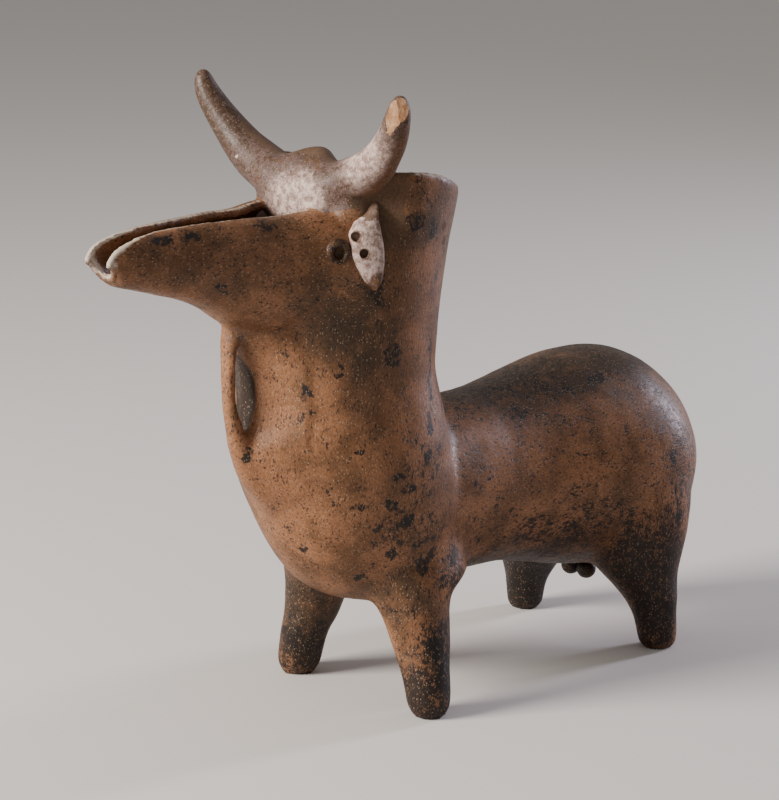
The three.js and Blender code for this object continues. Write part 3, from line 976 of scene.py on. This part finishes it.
def vectors(tree, how, a, b=(0.0, 0.0, 0.0)):
    node = tree.nodes.new("ShaderNodeVectorMath")
    node.operation = how
    feed(tree, node.inputs[0], a)
    feed(tree, node.inputs[1], b)
    return node.outputs["Value"] if how in ("LENGTH", "DOT_PRODUCT") else node.outputs["Vector"]


def ranged(tree, value, low, high, first=0.0, last=1.0):
    node = tree.nodes.new("ShaderNodeMapRange")
    node.interpolation_type = "SMOOTHSTEP"
    for socket, setting in zip(node.inputs, (value, low, high, first, last)):
        feed(tree, socket, setting)
    return node.outputs[0]


def noise(tree, place, scale, detail=2.0, roughness=0.5, output=0):
    node = tree.nodes.new("ShaderNodeTexNoise")
    feed(tree, node.inputs["Vector"], place)
    node.inputs["Scale"].default_value = scale
    node.inputs["Detail"].default_value = detail
    node.inputs["Roughness"].default_value = roughness
    return node.outputs[output]


def mixed(tree, share, a, b, blend="MIX"):
    node = tree.nodes.new("ShaderNodeMix")
    node.data_type = "RGBA"
    node.blend_type = blend
    for socket, setting in zip((node.inputs[0], node.inputs[6], node.inputs[7]), (share, a, b)):
        feed(tree, socket, setting)
    return node.outputs[2]


def distance(tree, place, centre, radii):
    offset = vectors(tree, "SUBTRACT", place, [c * mm for c in centre])
    return vectors(tree, "LENGTH", vectors(tree, "DIVIDE", offset, [r * mm for r in radii]))


def zones(tree, place, entries, start=0.0):  # soft patches, added up
    total = start
    for centre, radii, amount in entries:
        patch = ranged(tree, distance(tree, place, centre, radii), 1.0, 0.2, 0.0, amount)
        total = plus(tree, total, patch)
    return total


def nearest(tree, place, entries):  # least distance to a spot, in the spot's radii
    least = 9.0
    for centre, radii in entries:
        least = maths(tree, "MINIMUM", least, distance(tree, place, centre, radii))
    return least


def groupOf(name, inputs, outputs):
    tree = bpy.data.node_groups.new(name, "ShaderNodeTree")
    for title, kind in inputs:
        tree.interface.new_socket(name=title, in_out="INPUT", socket_type="NodeSocket" + kind)
    for title, kind in outputs:
        tree.interface.new_socket(name=title, in_out="OUTPUT", socket_type="NodeSocket" + kind)
    return tree, tree.nodes.new("NodeGroupInput"), tree.nodes.new("NodeGroupOutput")


# what the fire left where, and painted light and shade: smoke, dark veil that is partly painted shade, pale
# bloom, a painted pool of light on the chest, crisp black spots and painted shade in the dewlap's slot
fireAndPaintedLightMarks = {
    "smoke": [
        ((49, -42, 96), (24, 34, 34), 0.25), ((48, -32, 128), (18, 20, 26), 0.2),
        ((47, -29, 8), (28, 28, 30), 0.72), ((53, -22, 34), (16, 16, 24), 0.6),
        ((53, 119, 38), (34, 38, 44), 0.58), ((53, 128, 8), (28, 28, 26), 0.35),
        ((-45, 124, 30), (38, 38, 54), 0.95), ((-40, -30, 10), (28, 28, 26), 0.62),
        ((45, 70, 68), (40, 90, 26), 0.26), ((54, 142, 86), (25, 28, 46), 0.25),
        ((0, 120, 38), (30, 38, 22), 0.55), ((48, -10, 58), (16, 12, 32), 0.4),
        ((6, 60, 138), (44, 64, 18), 0.26), ((12, -156, 238), (9, 16, 6), 0.35),
        ((23, -104, 238), (9, 18, 6), 0.22), ((-48, -40, 110), (26, 40, 60), 0.25),
        ((-50, 90, 80), (26, 80, 40), 0.25),
    ],
    # dark brown patches: those under the cheek, on the belly, on the near front thigh and on the far front
    # leg are painted shade; the others darken the clay where they lie
    "veilAndShade": [
        ((46, -40, 238), (34, 48, 30), 0.7), ((18, -116, 226), (34, 74, 24), 0.4),
        ((38, -72, 196), (34, 38, 34), 0.85), ((44, -62, 166), (26, 32, 48), 0.55),
        ((8, 70, 142), (60, 96, 30), 0.9), ((10, 142, 142), (60, 60, 32), 0.8),
        ((20, 50, 48), (56, 96, 32), 1.15), ((-46, -40, 235), (34, 48, 34), 0.6),
        ((40, -38, 58), (24, 26, 26), 0.75), ((47, -29, 14), (26, 26, 30), 0.6),
        ((-32, -34, 32), (28, 28, 44), 1.15), ((-42, 124, 26), (34, 36, 50), 1.35),
        ((53, 121, 30), (30, 34, 44), 0.65), ((-50, -66, 276), (34, 24, 38), 1.2),
        ((26, -64, 76), (24, 24, 18), 0.2),
    ],
    "pale": [
        ((6, -70, 247), (25, 19, 17), 0.6), ((45, -65, 273), (24, 14, 26), 0.48),
        ((6, -60, 265), (14, 14, 7), -0.2), ((45, -60, 248), (8, 8, 10), 0.7),
        ((6, -108, 188), (12, 10, 14), 0.4), ((0, -181, 232), (13, 9, 15), 1.25),
        ((-54, -66, 282), (32, 24, 44), -0.24), ((47, -60, 209), (10, 10, 13), -0.85),
        ((39, -60, 247), (10, 10, 9), -0.9), ((46, -56, 224), (8, 3, 18), -0.3),
    ],
    # a painted pool of light on the lit front of the chest and throat
    "bare": [((-2, -94, 124), (46, 42, 84), 0.16)],
    # the slot patch is painted shade: the strap's shadow on the throat, behind the dewlap
    "slot": [((-10, -98.5, 161), (16.8, 7, 26))],
    "spots": [
        ((17.5, -126.8, 213.6), (4.2, 4.2, 4)), ((47.3, -51.2, 177.3), (5.8, 5.6, 6)),
        ((38.4, -74.1, 174.2), (1.9, 1.9, 1.6)), ((37.5, -75.6, 170.8), (1.8, 1.8, 1.8)),
        ((26.5, -85.4, 162), (3.2, 3.2, 3.4)), ((27.5, -84.7, 152.1), (3, 3, 2.6)),
        ((44, -68.9, 134.8), (2, 2, 2)), ((4.5, -102.9, 133.3), (4, 2.6, 5)),
        ((51.2, -32.8, 127.2), (3, 3, 4)), ((49.6, -25.4, 120.3), (2, 2, 2.6)),
        ((42.6, -23.3, 170.6), (3, 1.9, 12)), ((44.5, -25.1, 157), (3, 2.1, 12)),
        ((48.3, -28.7, 141.6), (3, 2.8, 8)), ((41.1, -66.6, 107.5), (4, 5.5, 2.2)),
        ((48.2, -53.5, 108), (4, 3.4, 2.6)), ((51.2, -44.7, 114.3), (3, 5.5, 1.9)),
        ((51, -50.3, 120.7), (3, 4, 1.8)), ((44, -55.6, 95.6), (3, 3.6, 3)),
        ((49.5, -43.1, 99.6), (3, 3.2, 3.6)), ((46.9, -35.7, 85.2), (3, 3, 3.6)),
        ((44.4, -29.8, 74.6), (6, 4.6, 5.6)), ((42.6, -47, 82.2), (4, 3.4, 4)),
        ((45, -24.4, 79.3), (4, 3, 3.6)), ((8.4, -80.8, 93.7), (2.6, 2, 1.6)),
        ((12, -74.9, 83.8), (4, 3, 2.6)), ((29.7, -55, 70.2), (4, 4, 2)), ((27.2, 105, 140.3), (4, 6.4, 3)),
        ((26.1, 53.8, 130.9), (4, 4.6, 3.4)), ((7.9, 55.6, 139), (3, 3.4, 3)),
        ((55.4, 132.5, 100.1), (3, 3, 5)), ((57, 135.4, 68.4), (3, 3, 5)), ((41.7, 8, 105.7), (2, 2, 3)),
        ((42.4, 74.5, 72.8), (4, 4, 3)), ((51.5, -41, 239), (5, 6, 4)), ((50.3, -29.1, 233.5), (4, 4, 5)),
        ((70.2, -65.5, 287.3), (2, 2, 2.6)), ((11.7, -155.5, 238.3), (3, 7, 3)),
        ((14, -140, 239), (3, 5, 2.4)), ((52, -26, 36), (7, 5, 9)), ((53, -22, 20), (8, 5, 14)),
    ],
}

clayTones = {
    # the veil colour serves both the dark smoke veil and the painted shade
    "warm": tone(157, 108, 75), "deep": tone(114, 77, 49), "veilAndShade": tone(68, 52, 38),
    # the slot colour is the dark of the painted shade behind the dewlap's strap
    "black": tone(29, 25, 25), "slot": tone(34, 23, 11), "speck": tone(41, 30, 24),
    "brownBand": tone(110, 73, 47),
    "paleHigh": tone(218, 192, 182), "paleLow": tone(148, 120, 110), "mauve": tone(98, 76, 70),
    "fleck": tone(203, 174, 148), "worn": tone(216, 200, 183), "inside": tone(104, 79, 60),
    "rawDeep": tone(176, 126, 88), "rawPale": tone(205, 160, 122), "rawGrit": tone(120, 84, 60),
}


def shaken(tree, place, scale, detail, roughness, amount):  # places pushed about, for ragged borders
    push = vectors(tree, "SUBTRACT", noise(tree, place, scale, detail, roughness, 1), (0.5, 0.5, 0.5))
    return vectors(tree, "ADD", place, vectors(tree, "MULTIPLY", push, (amount, amount, amount)))


def attributeOf(tree, name):
    node = tree.nodes.new("ShaderNodeAttribute")
    node.attribute_name = name
    return node.outputs["Fac"]


def paleBloom(tree, place, normal, pale):  # worn and pinkish, and brown where it faces down
    t = clayTones
    grain = ranged(tree, noise(tree, place, 300, 6, 0.75), 0.39, 0.60)
    color = mixed(tree, grain, t["paleLow"], t["paleHigh"])
    color = mixed(tree, ranged(tree, pale, 0.55, 1.05), t["mauve"], color)
    under = vectors(tree, "DOT_PRODUCT", normal, (0.2, 0.5, -0.84))
    return mixed(tree, ranged(tree, under, 0.15, 0.6), color, t["brownBand"])


def gritFlecks(tree, stroked):  # pale grit in the clay, in two sizes
    fleck = 0.0
    for scale, least, strength in ((1250, 0.55, 0.60), (900, 0.94, 0.5)):
        cells = tree.nodes.new("ShaderNodeTexVoronoi")
        feed(tree, cells.inputs["Vector"], stroked)
        cells.inputs["Scale"].default_value = scale
        chosen = tree.nodes.new("ShaderNodeSeparateColor")
        feed(tree, chosen.inputs[0], cells.outputs["Color"])
        here = ranged(tree, cells.outputs["Distance"], 0.42, 0.14)
        here = times(tree, here, ranged(tree, chosen.outputs[0], least, least + 0.05))
        here = times(tree, here, ranged(tree, chosen.outputs[1], 0.0, 1.0, 0.1, strength))
        fleck = maths(tree, "MAXIMUM", fleck, here)
    return fleck


def sootOver(tree, color, smoked, streaks, cloudsAndChestLight, place, ragged, stroked):  # and crisp black spots
    t = clayTones
    scratch = maths(tree, "ABSOLUTE", minus(tree, noise(tree, place, 95, 3, 0.55), 0.5))
    kept = ranged(tree, scratch, 0.005, 0.016, 0.15, 1.0)  # thin lines scratched through the soot
    # the soot's tone follows the clouds, which carry the painted light on the chest
    soot = mixed(tree, cloudsAndChestLight, t["speck"], t["black"])
    dots = plus(tree, noise(tree, stroked, 1000, 2, 0.5), times(tree, smoked, 0.22))
    field = plus(tree, streaks, times(tree, smoked, 0.34))
    sooty = times(tree, ranged(tree, field, 0.655, 0.72, 0.0, 0.88), kept)
    color = mixed(tree, sooty, color, soot)
    color = mixed(tree, ranged(tree, dots, 0.635, 0.70, 0.0, 0.75), color, soot)
    spot = ranged(tree, nearest(tree, ragged, fireAndPaintedLightMarks["spots"]), 1.0, 0.8)
    inSpot = times(tree, spot, ranged(tree, streaks, 0.40, 0.50, 0.20, 0.95))
    return mixed(tree, inSpot, color, t["black"]), field


def firedClayGroup():
    tree, given, made = groupOf(
        "firedClay",
        [("Strokes", "Vector"), ("Smoke", "Float"), ("Veil", "Float"), ("Pale", "Float")],
        [("Color", "Color"), ("Roughness", "Float"), ("Height", "Float")])
    t = clayTones
    coords = tree.nodes.new("ShaderNodeTexCoord")
    place = coords.outputs["Object"]
    ragged = shaken(tree, place, 260, 3, 0.6, 0.009)
    broad = shaken(tree, place, 42, 2, 0.5, 0.03)
    stroked = vectors(tree, "MULTIPLY", place, given.outputs["Strokes"])
    # warm and deep clouds in the clay, pushed towards warm by a painted pool of light on the chest
    cloudsAndChestLight = plus(tree, noise(tree, place, 55, 4, 0.55), zones(tree, place, fireAndPaintedLightMarks["bare"]))
    smoke = zones(tree, broad, fireAndPaintedLightMarks["smoke"], given.outputs["Smoke"])
    drift = ranged(tree, noise(tree, place, 120, 3, 0.6), 0.35, 0.7, -0.10, 0.16)
    smoke = plus(tree, smoke, drift)
    # dark veil, partly painted shade under the cheek, on the belly and on the front legs
    veilAndShade = zones(tree, broad, fireAndPaintedLightMarks["veilAndShade"], given.outputs["Veil"])
    wisps = ranged(tree, noise(tree, stroked, 150, 4, 0.6), 0.25, 0.6, 0.55, 1.0)
    veilAndShade = times(tree, veilAndShade, wisps)
    pale = zones(tree, ragged, fireAndPaintedLightMarks["pale"], given.outputs["Pale"])

    color = mixed(tree, ranged(tree, cloudsAndChestLight, 0.35, 0.65), t["deep"], t["warm"])
    color = mixed(tree, ranged(tree, veilAndShade, 0.0, 1.0, 0.0, 0.92), color, t["veilAndShade"])
    # painted shade in the dewlap's slot, where the strap shades the throat
    slotShade = ranged(tree, nearest(tree, place, fireAndPaintedLightMarks["slot"]), 1.0, 0.85, 0.0, 0.95)
    color = mixed(tree, slotShade, color, t["slot"])
    patchy = ranged(tree, noise(tree, place, 420, 4, 0.65), 0.3, 0.7, -0.35, 0.35)
    patchy = plus(tree, pale, patchy)
    bloom = paleBloom(tree, place, coords.outputs["Normal"], pale)
    color = mixed(tree, ranged(tree, patchy, 0.3, 0.7), color, bloom)

    fine = noise(tree, stroked, 1100, 3, 0.6)
    color = mixed(tree, 1.0, color, ranged(tree, fine, 0.28, 0.72, 0.72, 1.22), "MULTIPLY")
    streaks = noise(tree, stroked, 380, 5, 0.72)
    smoked = minus(tree, smoke, times(tree, pale, 0.4))
    color, field = sootOver(tree, color, smoked, streaks, cloudsAndChestLight, place, ragged, stroked)
    fleck = gritFlecks(tree, stroked)
    color = mixed(tree, fleck, color, t["fleck"])

    broken = ranged(tree, noise(tree, place, 380, 3, 0.6), 0.3, 0.7, -0.15, 0.12)
    worn = ranged(tree, plus(tree, attributeOf(tree, "worn"), broken), 0.35, 0.75, 0.0, 0.85)
    color = mixed(tree, worn, color, t["worn"])
    raw = mixed(tree, 1.0, t["inside"], ranged(tree, fine, 0.28, 0.72, 0.75, 1.15), "MULTIPLY")
    inside = ranged(tree, attributeOf(tree, "inside"), 0.3, 0.7, 0.0, 0.8)
    color = mixed(tree, inside, color, raw)

    rough = ranged(tree, noise(tree, stroked, 500, 3, 0.6), 0.3, 0.7, 0.34, 0.52)
    rough = plus(tree, rough, times(tree, worn, 0.2))
    rough = plus(tree, rough, times(tree, inside, 0.4))
    rough = plus(tree, rough, ranged(tree, patchy, 0.3, 0.7, 0.0, 0.14))
    height = times(tree, noise(tree, stroked, 420, 4, 0.6), 0.8)
    height = plus(tree, times(tree, fine, 0.5), height)
    height = minus(tree, height, ranged(tree, field, 0.64, 0.72, 0.0, 0.35))
    height = minus(tree, height, times(tree, fleck, 0.25))
    for title, value in (("Color", color), ("Roughness", rough), ("Height", height)):
        feed(tree, made.inputs[title], value)
    return tree


firedClay = firedClayGroup()


def bumped(tree, shader, height, depth):  # the depth in mm
    bump = tree.nodes.new("ShaderNodeBump")
    bump.inputs["Distance"].default_value = depth * mm
    tree.links.new(height, bump.inputs["Height"])
    tree.links.new(bump.outputs["Normal"], shader.inputs["Normal"])


def clayMaterial(name, look):
    material, tree, shader = newMaterial(name)
    clay = tree.nodes.new("ShaderNodeGroup")
    clay.node_tree = firedClay
    for socket, value in zip(clay.inputs, look):
        socket.default_value = value
    tree.links.new(clay.outputs["Color"], shader.inputs["Base Color"])
    tree.links.new(clay.outputs["Roughness"], shader.inputs["Roughness"])
    shader.inputs["Specular IOR Level"].default_value = 0.38
    bumped(tree, shader, clay.outputs["Height"], 0.16)
    return material


upright, lengthwise, even = (1, 1, 0.62), (1, 0.62, 1), (1, 1, 1)  # how the burnishing strokes run
clayLooks = {  # strokes, smoke, veil and pale
    "neck": (upright, 0.16, 0, 0), "chest": (upright, 0.16, 0, 0), "dewlap": (upright, 0.16, 0, 0),
    "trunk": (lengthwise, 0.22, 0, 0), "leg": (upright, 0.24, 0, 0), "spout": (lengthwise, 0.16, 0.12, 0),
    "brow": (even, 0.1, 0.9, 0.62), "horn": (even, 0.14, 0.9, 0.62), "ear": (upright, 0, 0, 1.1),
    "eye": (even, 0.3, 0.75, 0), "pellet": (even, 0.3, 0.5, 0),
}
finishes = {kind: clayMaterial(kind + "Clay", look) for kind, look in clayLooks.items()}


def chipMaterial():
    material, tree, shader = newMaterial("chipClay")
    place = tree.nodes.new("ShaderNodeTexCoord").outputs["Object"]
    grain = noise(tree, place, 900, 4, 0.7)
    blotches = ranged(tree, noise(tree, place, 260, 3, 0.6), 0.35, 0.65)
    color = mixed(tree, blotches, clayTones["rawDeep"], clayTones["rawPale"])
    color = mixed(tree, ranged(tree, grain, 0.58, 0.66, 0.0, 0.6), color, clayTones["rawGrit"])
    tree.links.new(color, shader.inputs["Base Color"])
    shader.inputs["Roughness"].default_value = 0.85
    bumped(tree, shader, grain, 0.6)
    return material


def chipFaces(horn):  # the broken faces show the raw clay
    horn.data.materials.append(chipMaterial())
    for face in horn.data.polygons:
        for normal, depth in chipForm["faces"]:
            normal = Vector(normal).normalized()
            beyond = (face.center / mm - Vector(chipForm["point"])).dot(normal) - depth
            if abs(beyond) < chipForm["near"] and face.normal.dot(normal) > chipForm["facing"]:
                face.material_index = 1


for node, piece in pieces.items():
    only(piece)
    bpy.ops.object.shade_smooth_by_angle(angle=math.radians(skinForm["softAngle"]))
    addUse(piece)
    piece.data.materials.clear()
    piece.data.materials.append(finishes[node.split("_")[0]])
    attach(piece, "root")
    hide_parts(node)
chipFaces(pieces["horn_left"])
print("materials")
